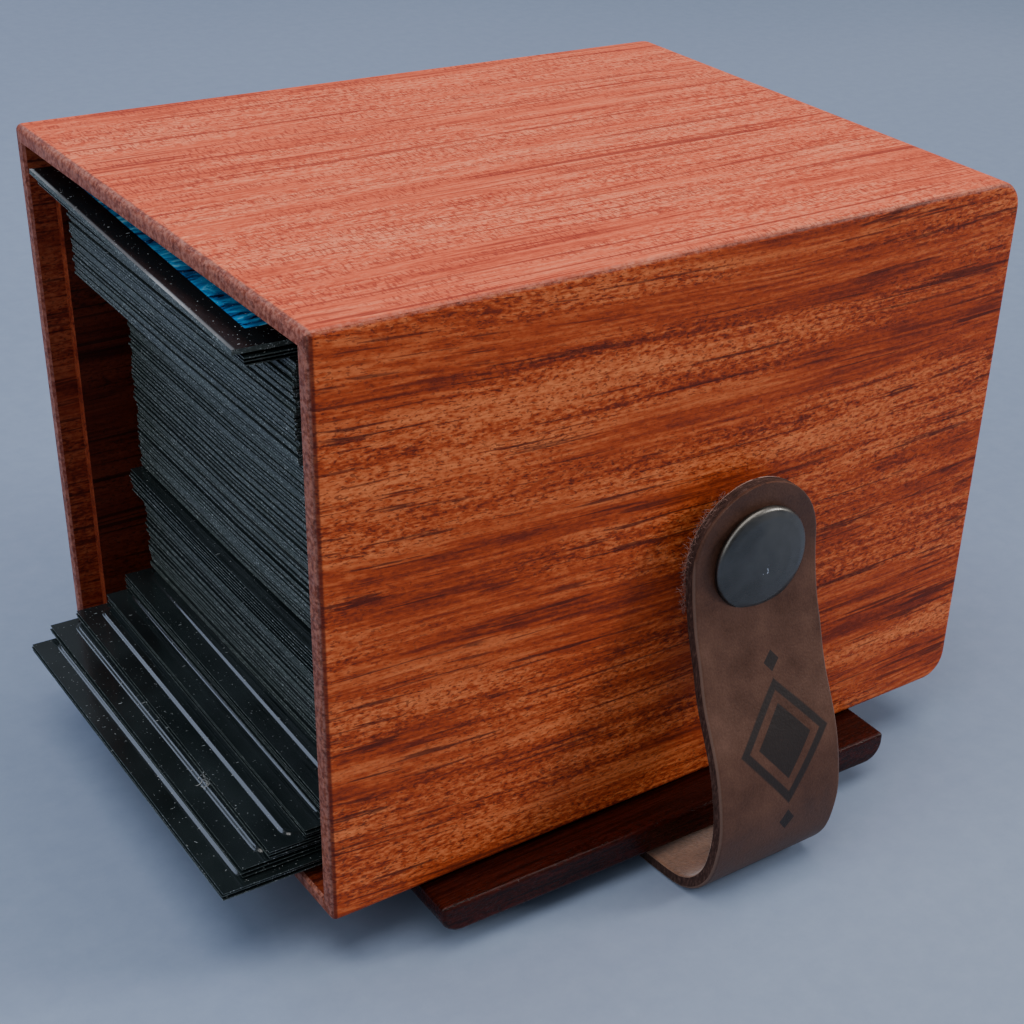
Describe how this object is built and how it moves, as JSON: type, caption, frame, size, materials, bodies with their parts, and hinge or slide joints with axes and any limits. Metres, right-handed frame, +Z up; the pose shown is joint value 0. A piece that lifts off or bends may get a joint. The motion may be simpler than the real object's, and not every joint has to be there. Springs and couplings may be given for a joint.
{
  "type": "card deck box",
  "caption": "Wooden trading card deck box, open at one end, with a loose lid plate, a leather strap on press studs and the sleeved deck inside.",
  "frame": {"origin": "on the underside of the strap, where the box stands, below the middle of the case", "axes": "+X from the open end to the closed end of the case, +Z up, +Y across from the near strap face to the far one"},
  "size_m": [0.1184, 0.116, 0.0873],
  "materials": {
    "case_wood": "oiled red hardwood with dark streaks, grain from the open to the closed end, satin",
    "lid_wood": "oiled dark red hardwood, grain across the stored lid, semi-gloss",
    "strap_leather": "dark brown waxed leather with a tan flesh side and raw cut edges",
    "black_nickel": "black nickel plate, satin",
    "card_sleeves": "black-backed plastic card sleeves, glossy film with light dust",
    "printed_card": "sleeved card with a black border and a blue abstract print"
  },
  "bodies": {
    "case": {"near_wall": "case_wood", "far_wall": "case_wood", "top_panel": "case_wood", "bottom_panel": "case_wood", "end_panel": "case_wood", "snap_stud_near": "black_nickel", "snap_stud_far": "black_nickel", "snap_rivet_near": "black_nickel", "snap_rivet_far": "black_nickel"},
    "strap": {"strap": "strap_leather", "snap_cap_near": "black_nickel", "snap_cap_far": "black_nickel", "snap_socket_near": "black_nickel", "snap_socket_far": "black_nickel"},
    "lid": {"lid_plate": "lid_wood"},
    "fan_packet_1": {"fan_cards_1": "card_sleeves"},
    "fan_packet_2": {"fan_cards_2": "card_sleeves"},
    "fan_packet_3": {"fan_cards_3": "card_sleeves"},
    "fan_packet_4": {"fan_cards_4": "card_sleeves"},
    "fan_packet_5": {"fan_cards_5": "card_sleeves"},
    "lower_packet": {"lower_cards": "card_sleeves"},
    "stepped_packet": {"stepped_cards": "card_sleeves"},
    "middle_packet": {"middle_cards": "card_sleeves"},
    "upper_packet": {"upper_cards": "card_sleeves"},
    "second_packet": {"second_cards": "card_sleeves"},
    "top_packet": {"top_card": "printed_card"}
  },
  "joints": [
    {"name": "strap_swing", "type": "hinge", "parent": "case", "child": "strap", "pos_m": [0.0075, 0, 0.0453], "axis": [0, 1, 0], "range_deg": [-3, 3]},
    {"name": "lid_draw", "type": "slide", "parent": "case", "child": "lid", "axis": [-1, 0, 0], "range_m": [-0.096, 0.105]},
    {"name": "fan_packet_1_draw", "type": "slide", "parent": "case", "child": "fan_packet_1", "axis": [-1, 0, 0], "range_m": [-0.021, 0.115]},
    {"name": "fan_packet_2_draw", "type": "slide", "parent": "case", "child": "fan_packet_2", "axis": [-1, 0, 0], "range_m": [-0.018, 0.115]},
    {"name": "fan_packet_3_draw", "type": "slide", "parent": "case", "child": "fan_packet_3", "axis": [-1, 0, 0], "range_m": [-0.014, 0.115]},
    {"name": "fan_packet_4_draw", "type": "slide", "parent": "case", "child": "fan_packet_4", "axis": [-1, 0, 0], "range_m": [-0.009, 0.115]},
    {"name": "fan_packet_5_draw", "type": "slide", "parent": "case", "child": "fan_packet_5", "axis": [-1, 0, 0], "range_m": [-0.006, 0.115]},
    {"name": "lower_packet_draw", "type": "slide", "parent": "case", "child": "lower_packet", "axis": [-1, 0, 0], "range_m": [-0.002, 0.115]},
    {"name": "stepped_packet_draw", "type": "slide", "parent": "case", "child": "stepped_packet", "axis": [-1, 0, 0], "range_m": [-0.0035, 0.115]},
    {"name": "middle_packet_draw", "type": "slide", "parent": "case", "child": "middle_packet", "axis": [-1, 0, 0], "range_m": [-0.002, 0.115]},
    {"name": "upper_packet_draw", "type": "slide", "parent": "case", "child": "upper_packet", "axis": [-1, 0, 0], "range_m": [-0.0085, 0.115]},
    {"name": "second_packet_draw", "type": "slide", "parent": "case", "child": "second_packet", "axis": [-1, 0, 0], "range_m": [-0.0115, 0.115]},
    {"name": "top_packet_draw", "type": "slide", "parent": "case", "child": "top_packet", "axis": [-1, 0, 0], "range_m": [-0.012, 0.115]}
  ]
}
